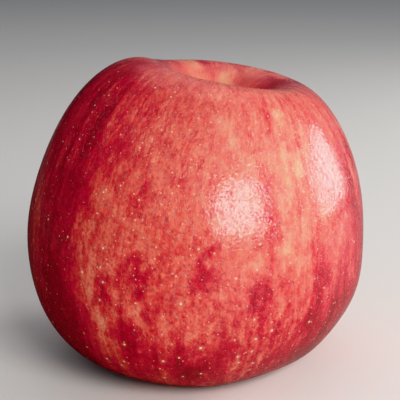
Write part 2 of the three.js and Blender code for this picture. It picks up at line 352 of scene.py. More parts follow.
# %% Places of the blotches
# Every place is a turn in degrees, mm down from the stem, half width and half length in mm, and the
# amount of pigment that it adds or takes.
DEEP_BLOTCHES = [
    # left of the middle
    (235, 34, 8, 4, 0.05),
    (238, 42, 5, 5, 0.12),
    (220, 43, 3, 5, 0.18),
    (233, 44, 5, 13, 0.08),
    (235, 52, 2.5, 3, 0.18),
    (237, 59, 2, 3, 0.05),
    (248, 60, 2, 3, 0.22),
    (255, 65, 2.5, 3, 0.1),
    (237, 71, 4, 9, 0.05),
    (251, 77, 2.2, 4.5, 0.44),
    (245, 78, 1, 1.5, 0.18),
    (240, 82, 1.2, 3.2, 0.34),
    (246, 85, 1.6, 1.5, 0.12),
    (255, 85, 1.2, 3.5, 0.28),
    (235, 90, 1.2, 4, 0.24),
    (248, 90, 2.5, 4, 0.2),
    (250, 96, 3, 4, 0.22),
    # the middle
    (262, 33, 10, 4, 0.04),
    (293, 35, 1.6, 1.8, 0.22),
    (283, 43, 2.4, 2, 0.14),
    (298, 43, 1.6, 2.4, 0.16),
    (289, 52, 0.9, 4, 0.2),
    (291, 61, 1.1, 6, 0.28),
    (286, 63, 0.8, 5, 0.24),
    (291, 67, 1.1, 2.4, 0.16),
    (270, 71, 1.8, 3.5, 0.32),
    (269, 76, 2.4, 2, 0.2),
    (287, 77, 2.2, 5, 0.27),
    (296, 77, 0.7, 3.5, 0.22),
    (279, 91, 3, 3, 0.14),
    (290, 92, 5, 6, 0.1),
    (264, 94, 2.4, 3, 0.12),
    (262, 99, 5, 3, 0.22),
    (270, 99, 4, 4, 0.22),
    # right of the middle
    (305, 51, 0.5, 4, 0.16),
    (335, 51, 2, 8, 0.06),
    (332, 54, 2.5, 6, 0.24),
    (321, 59, 2, 3, 0.16),
    (326, 60, 2, 5, 0.08),
    (338, 62, 5, 20, 0.27),
    (347, 62, 2.5, 16, 0.2),
    (310, 68, 2.2, 5, 0.22),
    (328, 72, 9, 12, 0.05),
    (325, 74, 3, 10, 0.14),
    (311, 79, 2.4, 6, 0.28),
    (303, 82, 12, 14, 0.05),
    (318, 84, 9, 12, 0.05),
    (334, 90, 11, 12, 0.28),
    (314, 91, 6, 9, 0.14),
    (321, 97, 8, 4, 0.26),
    # inside the stem hollow and on its right rim
    (42, 23, 6, 7, 0.26),
    (20, 24, 8, 6, 0.16),
    (100, 24, 22, 5, 0.04),
    (352, 25, 6, 4, 0.14),
]
PALE_PLACES = [
    # left of the middle
    (247, 37, 4, 4, -0.07),
    (216, 40, 5, 5, -0.08),
    (238, 58, 1.2, 4, -0.08),
    (236, 61, 1.5, 2.5, -0.06),
    (236, 64, 2.5, 4, -0.08),
    (250, 69, 2, 2.5, -0.1),
    (235, 80, 1.4, 6, -0.1),
    (233, 85, 2, 4, -0.08),
    (253, 85, 1.6, 3, -0.14),
    (250, 86, 0.8, 2, -0.2),
    (212, 88, 3, 8, -0.1),
    (230, 88, 1.6, 3.5, -0.1),
    (260, 90, 1.6, 2.5, -0.12),
    (238, 91, 2, 4, -0.1),
    (238, 92, 5, 6, -0.07),
    (239, 94, 2, 4, -0.14),
    (252, 94, 0.8, 2, -0.2),
    # the middle
    (273, 42, 4, 7, -0.1),
    (277, 43, 2.5, 3, -0.08),
    (292, 45, 3, 5, -0.12),
    (281, 48, 1, 4, -0.16),
    (274, 52, 1.4, 8, -0.1),
    (299, 53, 2.5, 3, -0.12),
    # partly a pale patch of the skin and partly a painted highlight where the front window is mirrored
    (282, 58, 4, 7, -0.16),
    (270, 62, 2.5, 3, -0.06),
    (272, 63, 2, 2.5, -0.1),
    (289, 67, 1.2, 2.5, -0.08),
    (298, 67, 3, 3.5, -0.24),
    (264, 71, 1.5, 2, -0.1),
    (284, 71, 2.4, 2.4, -0.22),
    (266, 74, 2, 2, -0.18),
    (283, 75, 1.6, 3, -0.1),
    (277, 77, 2, 2, -0.12),
    (294, 78, 0.8, 4, -0.24),
    (273, 85, 1, 3, -0.2),
    (274, 88, 1.6, 2.6, -0.16),
    (284, 88, 1.2, 3, -0.18),
    (266, 91, 1, 3, -0.18),
    (292, 94, 0.8, 3.5, -0.2),
    (281, 96, 1, 2.4, -0.22),
    # right of the middle
    (300, 37, 0.6, 3.4, -0.36),
    (310, 38, 0.7, 3.5, -0.28),
    (302, 47, 1.8, 2.4, -0.3),
    (303, 48, 1.5, 3, -0.12),
    (300, 52, 6, 15, -0.19),
    (340, 53, 0.8, 5, -0.3),
    (315, 58, 2.5, 3, -0.24),
    (304, 61, 1.6, 2.4, -0.18),
    (322, 64, 1.2, 3.4, -0.2),
    (310, 66, 2, 4, -0.1),
    # the far wall of the stem hollow, with its yellow streak, and a painted highlight on the rim's left
    # crest
    (82, 20, 1.8, 6, -0.36),
    (118, 22, 6, 5, -0.08),
    # painted highlight: paler skin along the left crest of the rim, where a window's light catches it
    (172, 23, 4, 3, -0.14),
]
print("placed by eye:", len(DEEP_BLOTCHES), "deep blotches and", len(PALE_PLACES), "pale places")

# %% [markdown]
# The pigment starts as an even blush. The sunny side, which the photograph shows as a crimson band
# down the left, gets much more of it, with an edge that wanders, and the skin is redder again low
# down. A pale stripe down the left edge is partly the skin's own streaks and partly painted sheen.
# Then come the placed patches, two of whose pale places are painted highlights, then the drawn ones
# on the sides that the photograph doesn't show. Round the stem and the calyx the red fades, and the
# ground there is greener.

# %% How much red there is
EVEN_BLUSH = 0.47
SUNNY_BLUSH = 0.43
LOWER_BLUSH = 0.05
LOWEST_BLUSH = 0.15
PALE_STREAKS_AND_SHEEN = -0.26
PLACED_WIDER = 1.15
PLACED_LONGER = 1.1
PLACED_WEAKER = 0.92
DRAWN_PATCHES = 150
DRAWN_AMOUNTS = [-0.22, 0.28]
PALER_AT_STEM = 0.2
PALER_AT_CALYX = 0.3

band_edge = 220.5 + 6 * rise(skin_down_mm, 44, 4) + 5 * rise(skin_down_mm, 92, 4)
band_edge = band_edge + 1.6 * np.cos(skin_down_mm / 5.3 + 1) + 1.1 * np.cos(skin_down_mm / 2.1)
sunny = (1 - rise(skin_degrees, band_edge, 2.2)) * rise(skin_degrees, 168, 7)
sunny = sunny * rise(skin_down_mm, 30, 5)

pigment = EVEN_BLUSH + SUNNY_BLUSH * sunny
pigment = pigment + LOWER_BLUSH * rise(skin_down_mm, 70, 5)
pigment = pigment + LOWEST_BLUSH * rise(skin_down_mm, 91, 4)
# paler streaks down the left edge: partly the skin's own streaks, partly a painted sheen of the
# surroundings
pigment = pigment + PALE_STREAKS_AND_SHEEN * soft_patch(204, 80, 5.5, 30, 1)
for turn, down, half_width, half_length, amount in DEEP_BLOTCHES + PALE_PLACES:
    wider, longer = PLACED_WIDER * half_width, PLACED_LONGER * half_length
    pigment = pigment + soft_patch(turn, down, wider, longer, PLACED_WEAKER * amount)

draw = np.random.default_rng(21)
for patch in range(DRAWN_PATCHES):
    turn = draw.uniform(-15, 196)
    down = draw.uniform(24, 112)
    amount = draw.choice(DRAWN_AMOUNTS) * draw.uniform(0.4, 1)
    pigment = pigment + soft_patch(turn, down, draw.uniform(0.9, 3.6), draw.uniform(2.5, 9), amount)

from_stem = bell(skin_down_mm, 0, 17)
from_calyx = bell(skin_down_mm.max() - skin_down_mm, 0, 20)
pigment = pigment - PALER_AT_STEM * from_stem - PALER_AT_CALYX * from_calyx
give_numbers(apple, "pigment", pigment)
give_numbers(apple, "green_ground", np.clip(from_stem + 0.8 * from_calyx, 0, 1))
print("pigment runs from", pigment.min(), "to", pigment.max())

# %% [markdown]
# Two more numbers are kept for the material. Russet is the brown cork round the stem, with one
# small spot of it on the front, and a brown patch on the right inside the stem hollow that is partly
# cork and partly painted shade. Streaky says where fine streaks run down the skin: strongly on the
# sunny side and on the right shoulder, and hardly at all in the rosy middle.

# %% Russet with painted shade in the hollow, and streaky places
RUSSET_WIDTH = 13
STREAKY_EVERYWHERE = 0.08
STREAKY_AT_STEM = 0.2
STREAKY_PLACES = [
    # turn, mm down, half width and half length in mm, strength
    (318, 38, 16, 18, 1.0),
    (200, 70, 18, 50, 1.0),
    (212, 45, 9, 18, 1.1),
    (95, 60, 50, 60, 0.8),
    (270, 100, 60, 12, 0.6),
    (252, 88, 26, 14, 0.4),
    (328, 86, 16, 20, 1.1),
    (300, 88, 15, 14, 0.8),
    (303, 62, 9, 18, 0.75),
    (262, 52, 20, 20, 0.3),
]

# partly cork and partly painted shade: a brown patch on the right inside the stem hollow
russet_and_shade = bell(skin_down_mm, 0, RUSSET_WIDTH) + soft_patch(45, 22, 5, 5, 0.25)
russet_and_shade = np.maximum(russet_and_shade, soft_patch(237, 66, 0.5, 0.9, 0.72))
give_numbers(apple, "russet_and_shade", russet_and_shade)

streaky = STREAKY_EVERYWHERE + STREAKY_AT_STEM * from_stem
for place in STREAKY_PLACES:
    streaky = np.maximum(streaky, soft_patch(*place))
streaky = streaky * (0.3 + 0.7 * rise(skin_down_mm, 33, 3))
give_numbers(apple, "streaky", streaky)
print("streaks are as strong as", streaky.max(), "and", streaky.mean(), "on the whole")

# %% [markdown]
# ## Nodes shared by the finishes
# Three finishes need marks drawn out along the way a piece grew: streaks in the skin, fibres in the
# stem, veins in the sepals. One group makes them: noise whose place is squeezed across the grain.
# The colours below are written as they look on a screen, 0 to 255, and turned into the linear
# colours that shaders use.

# %% Helpers for nodes
def paint(red, green, blue):
    """A screen colour as a linear one: the inverse of the sRGB curve."""
    shares = np.array([red, green, blue]) / 255
    linear = np.where(shares <= 0.04045, shares / 12.92, ((shares + 0.055) / 1.055) ** 2.4)
    return (*linear.tolist(), 1.0)


def put(tree, kind, inputs=None, **settings):
    """Adds a node with these settings. An input that is a socket is linked, any other is set."""
    made = tree.nodes.new(kind)
    for name, value in settings.items():
        setattr(made, name, value)
    for name, value in (inputs or {}).items():
        if isinstance(value, bpy.types.NodeSocket):
            tree.links.new(value, made.inputs[name])
        else:
            made.inputs[name].default_value = value
    return made


def maths(tree, operation, first, second=0.0):
    """The result of one sum on two numbers."""
    return put(tree, "ShaderNodeMath", {0: first, 1: second}, operation=operation).outputs[0]


def vectors(tree, operation, first, second=(0, 0, 0), scale=1.0):
    """The result of one sum on vectors: a number for a length, a vector otherwise."""
    inputs = {0: first, 1: second}
    if operation == "SCALE":
        inputs = {0: first, "Scale": scale}
    made = put(tree, "ShaderNodeVectorMath", inputs, operation=operation)
    return made.outputs["Value" if operation == "LENGTH" else "Vector"]


def smooth_step(tree, value, low, high, out_low=0.0, out_high=1.0):
    """Eases from the result at low to the result at high, and stays level on both sides of them."""
    inputs = {0: value, 1: low, 2: high, 3: out_low, 4: out_high}
    return put(tree, "ShaderNodeMapRange", inputs, interpolation_type="SMOOTHSTEP").outputs[0]


def mix_paint(tree, factor, first, second):
    """The first colour at factor 0, the second at 1, and a blend of the two between."""
    made = put(tree, "ShaderNodeMix", {0: factor, 6: first, 7: second}, data_type="RGBA")
    return made.outputs[2]


def new_group(name, inputs, outputs):
    """An empty node group with its named sockets, and its two end nodes."""
    group = bpy.data.node_groups.new(name, "ShaderNodeTree")
    for label, kind, value in inputs:
        socket = group.interface.new_socket(label, in_out="INPUT", socket_type="NodeSocket" + kind)
        if value is not None:
            socket.default_value = value
    for label, kind in outputs:
        group.interface.new_socket(label, in_out="OUTPUT", socket_type="NodeSocket" + kind)
    return group, group.nodes.new("NodeGroupInput").outputs, group.nodes.new("NodeGroupOutput").inputs


def place_group(tree, group, inputs):
    """One use of a group, with its own values."""
    return put(tree, "ShaderNodeGroup", inputs, node_tree=group)


def new_material(name):
    """A material, its node tree and its Principled shader."""
    material = bpy.data.materials.new(name)
    material.use_nodes = True
    return material, material.node_tree, material.node_tree.nodes["Principled BSDF"]


def stored(tree, name, output="Fac"):
    """What give_numbers kept under this name at the place that is shaded."""
    return put(tree, "ShaderNodeAttribute", attribute_name=name).outputs[output]


def feed_shader(tree, shader, colour, roughness, height, distance):
    """Links a colour and a roughness, and a height that is worth so many metres through Bump."""
    bump = put(tree, "ShaderNodeBump", {"Height": height, "Distance": distance, "Strength": 1.0})
    tree.links.new(colour, shader.inputs["Base Color"])
    tree.links.new(roughness, shader.inputs["Roughness"])
    tree.links.new(bump.outputs["Normal"], shader.inputs["Normal"])


print("half way up the screen's scale is", paint(128, 128, 128)[0], "in linear light")

# %% Grown streaks
def grown_streaks():
    """Noise from 0 to 1 on a place divided by the mark's width across the grain and length along it."""
    group, given, results = new_group(
        "grown streaks",
        [
            ("Place", "Vector", None),
            ("Width", "Float", 0.002),
            ("Length", "Float", 0.01),
            ("Detail", "Float", 2.0),
            ("Wander", "Float", 0.0),
        ],
        [("Streak", "Float")],
    )
    across = maths(group, "DIVIDE", 1.0, given["Width"])
    along = maths(group, "DIVIDE", 1.0, given["Length"])
    stretch = put(group, "ShaderNodeCombineXYZ", {0: across, 1: across, 2: along}).outputs[0]
    squeezed = vectors(group, "MULTIPLY", given["Place"], stretch)
    noise = put(
        group,
        "ShaderNodeTexNoise",
        {"Vector": squeezed, "Scale": 1.0, "Detail": given["Detail"], "Distortion": given["Wander"]},
    )
    group.links.new(noise.outputs["Fac"], results["Streak"])
    return group


streaks = grown_streaks()


def grown(tree, grain, sizes):
    """The streaks of one kind of mark, from its width and length in metres, detail and wander."""
    return place_group(tree, streaks, {"Place": grain, **sizes}).outputs["Streak"]


print("made the group", streaks.name, "with", len(streaks.nodes), "nodes")

# %% [markdown]
# ## The skin
# Up close the red is many layers: broad blotches, streaks a few millimetres wide, a mottle of about
# one millimetre and a finer speckle, over a cream yellow ground. All of them are the same pigment,
# so they are added up as one number, and one colour ramp turns less or more pigment into cream,
# peach, coral, red and crimson. That keeps the colours in the order of the real fruit, whatever the
# layers do. On top lie the lenticels, the pale breathing pores, with a faint halo round each.

# %% Lenticels
EMPTY_BEYOND = 0.26
SMALLEST_DOT = 0.5
LARGEST_DOT = 1.2
DOT_EDGE = (1.25, 0.6)
HALO_EDGE = (4.0, 0.8)


def lenticel_dots():
    """Round dots spread over a sphere. The cell points of a Voronoi pattern are pushed out on to the
    sphere round the heart, and the distance to them along it makes the dot. Cells whose point lies
    far from the sphere are left empty, because their dots would be cut by the cell's wall."""
    group, given, results = new_group(
        "lenticel dots",
        [("Place", "Vector", None), ("Cells per Metre", "Float", 220.0), ("Dot Radius", "Float", 0.0003)],
        [("Dot", "Float"), ("Halo", "Float")],
    )
    sphere = SIDE_REACH * MM
    spot = vectors(group, "SCALE", vectors(group, "NORMALIZE", given["Place"]), scale=sphere)
    cells = put(group, "ShaderNodeTexVoronoi", {"Vector": spot, "Scale": given["Cells per Metre"]})
    cell_point = cells.outputs["Position"]
    pushed = vectors(group, "SCALE", vectors(group, "NORMALIZE", cell_point), scale=sphere)
    apart = vectors(group, "LENGTH", vectors(group, "SUBTRACT", spot, pushed))
    depth = maths(group, "SUBTRACT", vectors(group, "LENGTH", cell_point), sphere)
    share = maths(group, "MULTIPLY", maths(group, "ABSOLUTE", depth), given["Cells per Metre"])
    whole = maths(group, "LESS_THAN", share, EMPTY_BEYOND)
    chance = put(group, "ShaderNodeSeparateColor", {0: cells.outputs["Color"]}).outputs[0]
    large = maths(group, "MULTIPLY", chance, chance)
    growth = smooth_step(group, large, 0, 1, SMALLEST_DOT, LARGEST_DOT)
    apart_in_dots = maths(group, "DIVIDE", apart, maths(group, "MULTIPLY", growth, given["Dot Radius"]))
    dot = maths(group, "MULTIPLY", smooth_step(group, apart_in_dots, *DOT_EDGE), whole)
    halo = maths(group, "MULTIPLY", smooth_step(group, apart_in_dots, *HALO_EDGE), whole)
    halo = maths(group, "MULTIPLY", halo, smooth_step(group, large, 0.1, 0.7, 0.15, 1.0))
    group.links.new(dot, results["Dot"])
    group.links.new(halo, results["Halo"])
    return group


lenticels = lenticel_dots()
print("made the group", lenticels.name, "with", len(lenticels.nodes), "nodes")

# %% [markdown]
# First comes the amount of pigment and its colour. Each layer of noise swings it up and down,
# and a mask says where: the mottle is weak in the stem hollow, and the streaks lie only in the
# streaky places.

# %% Pigment and its colours
SKIN_LAYERS = [
    # width, length, detail, wander, amount of pigment it adds or takes
    (0.008, 0.014, 2.0, 0.4, 0.15),
    (0.0023, 0.0038, 2.0, 0.3, 0.24),
    (0.0009, 0.0012, 1.0, 0.3, 0.18),
    (0.0004, 0.0005, 1.0, 0.0, 0.07),
]
STREAK_LAYERS = [
    (0.0022, 0.022, 1.0, 0.1, 0.34),
    (0.0009, 0.011, 1.0, 0.1, 0.28),
]
PIGMENT_STEPS = [
    (0.0, (230, 182, 140)),
    (0.2, (226, 150, 122)),
    (0.4, (222, 111, 95)),
    (0.55, (206, 75, 73)),
    (0.7, (186, 36, 56)),
    (0.85, (164, 12, 36)),
    (1.0, (134, 8, 26)),
]


def pigment_amount(tree, grain, mottled):
    """The stored pigment plus, for every layer, its noise from -1 to 1 times its strength and mask."""
    amount = stored(tree, "pigment")
    streaky = stored(tree, "streaky")
    layers = [(layer, mottled) for layer in SKIN_LAYERS] + [(layer, streaky) for layer in STREAK_LAYERS]
    for (width, length, detail, wander, strength), mask in layers:
        sizes = {"Width": width, "Length": length, "Detail": detail, "Wander": wander}
        centred = maths(tree, "SUBTRACT", grown(tree, grain, sizes), 0.5)
        swing = maths(tree, "MULTIPLY", centred, 2 * strength)
        amount = maths(tree, "ADD", amount, maths(tree, "MULTIPLY", swing, mask))
    return amount


def pigment_colour(tree, amount):
    """The ramp's colour for an amount of pigment, straight between one step and the next."""
    ramp = put(tree, "ShaderNodeValToRGB", {"Fac": amount})
    stops = ramp.color_ramp.elements
    while len(stops) < len(PIGMENT_STEPS):
        stops.new(0.5)
    for stop, (position, colour) in zip(stops, PIGMENT_STEPS):
        stop.position = position
        stop.color = paint(*colour)
    return ramp.outputs["Color"]


print("pigment has", len(SKIN_LAYERS), "layers of mottle and", len(STREAK_LAYERS), "of streaks")

# %% [markdown]
# Next is what lies in and on that colour. Freckles are small dark grains, each a tiny pit.
# Flecks are small pale grains where the red is thin. The wax has fine cracks, along the lines where
# a noise passes its middle value: they are darker, deeper and duller than the wax, and they break up
# the edges of the highlights. Cork, with a little painted shade in the stem hollow, and lenticels come
# last.

# %% Marks on the skin
FRECKLES = {"Width": 0.00042, "Length": 0.0006, "Detail": 2.0, "Wander": 0.5}
FRECKLE_STRENGTH = 0.4
FRECKLE_COLOUR = paint(128, 16, 32)
CRACKED_WAX = {"Width": 0.0011, "Length": 0.0016, "Detail": 2.0, "Wander": 1.0}
CRACK_WIDTH = 0.03
CRACK_STRENGTH = 0.32
CRACK_COLOUR = paint(120, 20, 30)
FLECKS = {"Width": 0.0006, "Length": 0.0009, "Detail": 1.0, "Wander": 0.3}
FLECK_STRENGTH = 0.16
FLECK_COLOUR = paint(242, 142, 122)
GREEN_STRENGTH = 0.75
GREEN_COLOUR = paint(186, 162, 80)
CORK = {"Width": 0.003, "Length": 0.004, "Detail": 4.0, "Wander": 1.0}
CORK_AND_SHADE_STRENGTH = 0.8
CORK_AND_SHADE_COLOUR = paint(134, 96, 48)


def marked_skin(tree, grain, mottled, amount):
    """The pigment's colour under freckles, cracks, flecks, green ground, and cork with a little painted
    shade, and the first two.
    """
    colour = pigment_colour(tree, amount)
    freckles = grown(tree, grain, FRECKLES)
    freckled = smooth_step(tree, freckles, 0.44, 0.7, 0.0, FRECKLE_STRENGTH)
    colour = mix_paint(tree, maths(tree, "MULTIPLY", freckled, mottled), colour, FRECKLE_COLOUR)

    from_crack = maths(tree, "SUBTRACT", grown(tree, grain, CRACKED_WAX), 0.5)
    cracks = smooth_step(tree, maths(tree, "ABSOLUTE", from_crack), CRACK_WIDTH, 0.0)
    colour = mix_paint(tree, maths(tree, "MULTIPLY", cracks, CRACK_STRENGTH), colour, CRACK_COLOUR)

    flecked = smooth_step(tree, grown(tree, grain, FLECKS), 0.45, 0.72, 0.0, FLECK_STRENGTH)
    flecked = maths(tree, "MULTIPLY", flecked, mottled)
    thin_red = smooth_step(tree, amount, 0.5, 0.75, 1.0, 0.1)
    colour = mix_paint(tree, maths(tree, "MULTIPLY", flecked, thin_red), colour, FLECK_COLOUR)

    pale = smooth_step(tree, amount, 0.55, 0.15, 0.0, GREEN_STRENGTH)
    greenish = maths(tree, "MULTIPLY", stored(tree, "green_ground"), pale)
    colour = mix_paint(tree, greenish, colour, GREEN_COLOUR)
    # cork colour, which is also painted shade where the brown patch in the stem hollow lies
    cork_and_shade = maths(tree, "ADD", stored(tree, "russet_and_shade"), grown(tree, grain, CORK))
    colour = mix_paint(tree, smooth_step(tree, cork_and_shade, 0.75, 1.15, 0.0, CORK_AND_SHADE_STRENGTH), colour, CORK_AND_SHADE_COLOUR)
    return colour, freckles, cracks


print("cracks in the wax lie about", CRACKED_WAX["Width"] / MM, "mm apart")

# %% Lenticels on the skin
DOTS_PER_METRE = 240.0
DOT_RADIUS_HIGH = 0.00016
DOT_RADIUS_LOW = 0.00025
DOT_COLOUR = paint(246, 206, 186)
HALO_HIGH = 0.04
HALO_LOW = 0.2
HALO_COLOUR = paint(234, 168, 130)
SPECKS_PER_METRE = 500.0
SPECK_RADIUS = 0.00017
SPECK_COLOUR = paint(240, 190, 168)


def dotted_skin(tree, from_heart, down, colour):
    """The colour under halos, small specks and larger dots, which are larger low on the fruit and
    fade out in the stem hollow, and the mask of the dots."""
    radius = smooth_step(tree, down, 0.045, 0.085, DOT_RADIUS_HIGH, DOT_RADIUS_LOW)
    sizes = {"Place": from_heart, "Cells per Metre": DOTS_PER_METRE, "Dot Radius": radius}
    dots = place_group(tree, lenticels, sizes).outputs
    sizes = {"Place": from_heart, "Cells per Metre": SPECKS_PER_METRE, "Dot Radius": SPECK_RADIUS}
    specks = place_group(tree, lenticels, sizes).outputs

    halo_strength = smooth_step(tree, down, 0.045, 0.085, HALO_HIGH, HALO_LOW)
    halo = maths(tree, "MULTIPLY", dots["Halo"], halo_strength)
    on_blush = smooth_step(tree, stored(tree, "pigment"), 0.6, 0.85, 1.0, 0.4)
    colour = mix_paint(tree, maths(tree, "MULTIPLY", halo, on_blush), colour, HALO_COLOUR)
    speck_strength = smooth_step(tree, down, 0.022, 0.036, 0.1, 0.7)
    speck = maths(tree, "MULTIPLY", specks["Dot"], speck_strength)
    colour = mix_paint(tree, speck, colour, SPECK_COLOUR)
    dot_strength = smooth_step(tree, down, 0.022, 0.036, 0.2, 0.85)
    dot = maths(tree, "MULTIPLY", dots["Dot"], dot_strength)
    return mix_paint(tree, dot, colour, DOT_COLOUR), dots["Dot"]


print("dots are up to", 2 * LARGEST_DOT * DOT_RADIUS_LOW / MM, "mm across")

# %% [markdown]
# Last comes the shine. The wax of a ripe apple is smooth, so the roughness is low, and what makes it
# look real is how the mirrored lights break up. Pores, pits, faint waves, lenticels and cracks are
# added into one height for Bump, which turns the normals without moving the mesh. They are far too
# fine for geometry: the mesh would need millions of points. A little light enters the flesh and
# comes out again beside the place, which softens the shade.

# %% Skin finish
# Heights are shares of SKIN_BUMP, which is in metres, and scales are in marks per metre.
PORES_SCALE = 1500.0
WAVES_SCALE = 260.0
PIT_HEIGHT = -0.5
WAVE_SHARE = 1.8
DOT_HEIGHT = 1.2
CRACK_DEPTH = 0.6
SKIN_BUMP = 0.00007
SMOOTHEST = 0.05
ROUGHEST = 0.11
CRACKS_ROUGHER = 0.5
DOTS_ROUGHER = 0.15


def skin_finish():
    """Colour from pigment and marks, a shine broken by pores, pits and cracks, and a little light
    that passes through the flesh."""
    material, tree, shader = new_material("apple_skin")
    grain = stored(tree, "grain_place", "Vector")
    place = put(tree, "ShaderNodeTexCoord").outputs["Object"]
    from_heart = vectors(tree, "SUBTRACT", place, tuple(HEART * MM))
    down = put(tree, "ShaderNodeSeparateXYZ", {0: grain}).outputs[2]
    mottled = smooth_step(tree, down, 0.016, 0.034, 0.4, 1.0)
    mottled = maths(tree, "MULTIPLY", mottled, smooth_step(tree, down, 0.07, 0.09, 1.0, 1.1))
    amount = pigment_amount(tree, grain, mottled)
    colour, freckles, cracks = marked_skin(tree, grain, mottled, amount)
    colour, dots = dotted_skin(tree, from_heart, down, colour)

    pores = put(tree, "ShaderNodeTexNoise", {"Vector": place, "Scale": PORES_SCALE, "Detail": 2.0})
    pores = pores.outputs["Fac"]
    waves = put(tree, "ShaderNodeTexNoise", {"Vector": place, "Scale": WAVES_SCALE, "Detail": 2.0})
    waves = waves.outputs["Fac"]
    pits = smooth_step(tree, freckles, 0.54, 0.7, 0.0, PIT_HEIGHT)
    height = maths(tree, "ADD", maths(tree, "ADD", pores, pits), maths(tree, "MULTIPLY", waves, WAVE_SHARE))
    height = maths(tree, "ADD", height, maths(tree, "MULTIPLY", dots, DOT_HEIGHT))
    height = maths(tree, "SUBTRACT", height, maths(tree, "MULTIPLY", cracks, CRACK_DEPTH))

    rough = smooth_step(tree, pores, 0.35, 0.65, SMOOTHEST, ROUGHEST)
    rough = maths(tree, "ADD", rough, maths(tree, "MULTIPLY", cracks, CRACKS_ROUGHER))
    rough = maths(tree, "ADD", rough, maths(tree, "MULTIPLY", dots, DOTS_ROUGHER))
    feed_shader(tree, shader, colour, rough, height, SKIN_BUMP)
    shader.inputs["Specular IOR Level"].default_value = 0.9
    shader.inputs["Subsurface Weight"].default_value = 0.08
    shader.inputs["Subsurface Radius"].default_value = (1.0, 0.35, 0.2)
    shader.inputs["Subsurface Scale"].default_value = 0.003
    return material


skin = skin_finish()
apple.data.materials.append(skin)
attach(apple, "root")
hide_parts("fruit")
print("the skin's material has", len(skin.node_tree.nodes), "nodes")

# %% [markdown]
# ## The stem
# The stem is a short woody stalk, thicker where it leaves the flesh and at the knob where it broke
# off the twig. The photograph hides it behind the near rim, so it is short. It is a tube along a
# bent line, and its radius is a formula: a foot, a knob, a few ribs, and finer bark. Its wood is dry
# and matt, with fibres that run along it, so the finish reuses the streaks on the stem's own grain.

# %% Stem
STEM_ROOT = 5
STEM_LENGTH = 12
STEM_BEND = 1.8
STEM_BEND_FACING = np.radians(200)
STEM_RADIUS = 1.15
STEM_FOOT = dict(swell=0.35, fade=0.22)
STEM_KNOB = dict(swell=0.75, middle=0.97, fade=0.1)
STEM_SCAR = dict(swell=0.12, middle=0.99, fade=0.04)
STEM_RIBS = 0.07
STEM_FINE_RIBS = 0.04
STEM_BARK = 0.03
STEM_START = 0.3
STEM_END = 0.1
STEM_SIDES = 72
STEM_STEPS = 130
STEM_GRAIN_RADIUS = 1.5

core_way = np.array([np.sin(CORE_LEAN), 0, np.cos(CORE_LEAN)])
core_across = np.array([np.cos(CORE_LEAN), 0, -np.sin(CORE_LEAN)])
core_beside = np.array([0, 1, 0])
bend_way = np.array([np.cos(STEM_BEND_FACING), np.sin(STEM_BEND_FACING), 0])


def stem_part():
    """Rings round a line that bends with the square of its height, with the radius from a formula."""
    share = np.linspace(0, 1, STEM_STEPS)[:, None]
    angle = (2 * np.pi * np.arange(STEM_SIDES) / STEM_SIDES)[None]
    whole = STEM_ROOT + STEM_LENGTH
    height = share * whole - STEM_ROOT
    risen = np.maximum(height, 0) / STEM_LENGTH
    middle = stem_pole / MM + height * core_way + STEM_BEND * risen**2 * bend_way
    foot = STEM_FOOT["swell"] * bell(share, STEM_ROOT / whole, STEM_FOOT["fade"])
    knob = STEM_KNOB["swell"] * bell(share, STEM_KNOB["middle"], STEM_KNOB["fade"])
    ribs = STEM_RIBS * np.cos(5 * angle + 2 * share) + STEM_FINE_RIBS * np.cos(13 * angle + 9 * share)
    bark = STEM_BARK * np.cos(61 * share + 3 * angle) * np.cos(7 * angle - 40 * share)
    scar = STEM_SCAR["swell"] * np.cos(4 * angle + 1) * bell(share, STEM_SCAR["middle"], STEM_SCAR["fade"])
    radius = STEM_RADIUS + foot + knob + ribs + bark + scar
    around = np.cos(angle)[..., None] * core_across + np.sin(angle)[..., None] * core_beside
    rings = (middle[:, None] + radius[..., None] * around) * MM
    start = (middle[0] - STEM_START * core_way) * MM
    end = (middle[-1] + STEM_END * core_way) * MM
    circle = STEM_GRAIN_RADIUS * np.array([np.cos(angle), np.sin(angle)])
    places = np.stack([circle[0] + 0 * share, circle[1] + 0 * share, height + 0 * angle], axis=-1)
    grain = closed_points(places * MM, (0, 0, -STEM_ROOT * MM), (0, 0, STEM_LENGTH * MM))
    return closed_points(rings, start, end), grain


stem_points, stem_grain = stem_part()
stem = make_piece("stem_wood", [(stem_points, *ring_faces(STEM_STEPS, STEM_SIDES))])
give_numbers(stem, "grain_place", stem_grain)

# %% Stem finish
STEM_FIBRES = {"Width": 0.0004, "Length": 0.004, "Detail": 3.0, "Wander": 0.5}
STEM_STAINS = {"Width": 0.0015, "Length": 0.003, "Detail": 2.0, "Wander": 0.3}
STEM_DARK = paint(74, 48, 28)
STEM_PALE = paint(140, 104, 64)
STEM_GREEN = paint(112, 104, 52)
STEM_BROKEN = paint(58, 38, 24)
STEM_BUMP = 0.00012


def stem_finish():
    """Dark and pale fibres, green stains on them, and a darker broken end."""
    material, tree, shader = new_material("stem_wood")
    grain = stored(tree, "grain_place", "Vector")
    fibres = grown(tree, grain, STEM_FIBRES)
    stains = grown(tree, grain, STEM_STAINS)
    colour = mix_paint(tree, smooth_step(tree, fibres, 0.35, 0.65), STEM_DARK, STEM_PALE)
    colour = mix_paint(tree, smooth_step(tree, stains, 0.45, 0.7, 0.0, 0.5), colour, STEM_GREEN)
    height = put(tree, "ShaderNodeSeparateXYZ", {0: grain}).outputs[2]
    broken_end = smooth_step(tree, height, 0.0106, 0.0119)
    colour = mix_paint(tree, broken_end, colour, STEM_BROKEN)
    rough = smooth_step(tree, fibres, 0.3, 0.7, 0.62, 0.85)
    feed_shader(tree, shader, colour, rough, fibres, STEM_BUMP)
    return material


stem.data.materials.append(stem_finish())
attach(stem, "root")
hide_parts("stem")
print("the stem reaches up to", stem_points[:, 2].max() / MM, "mm")

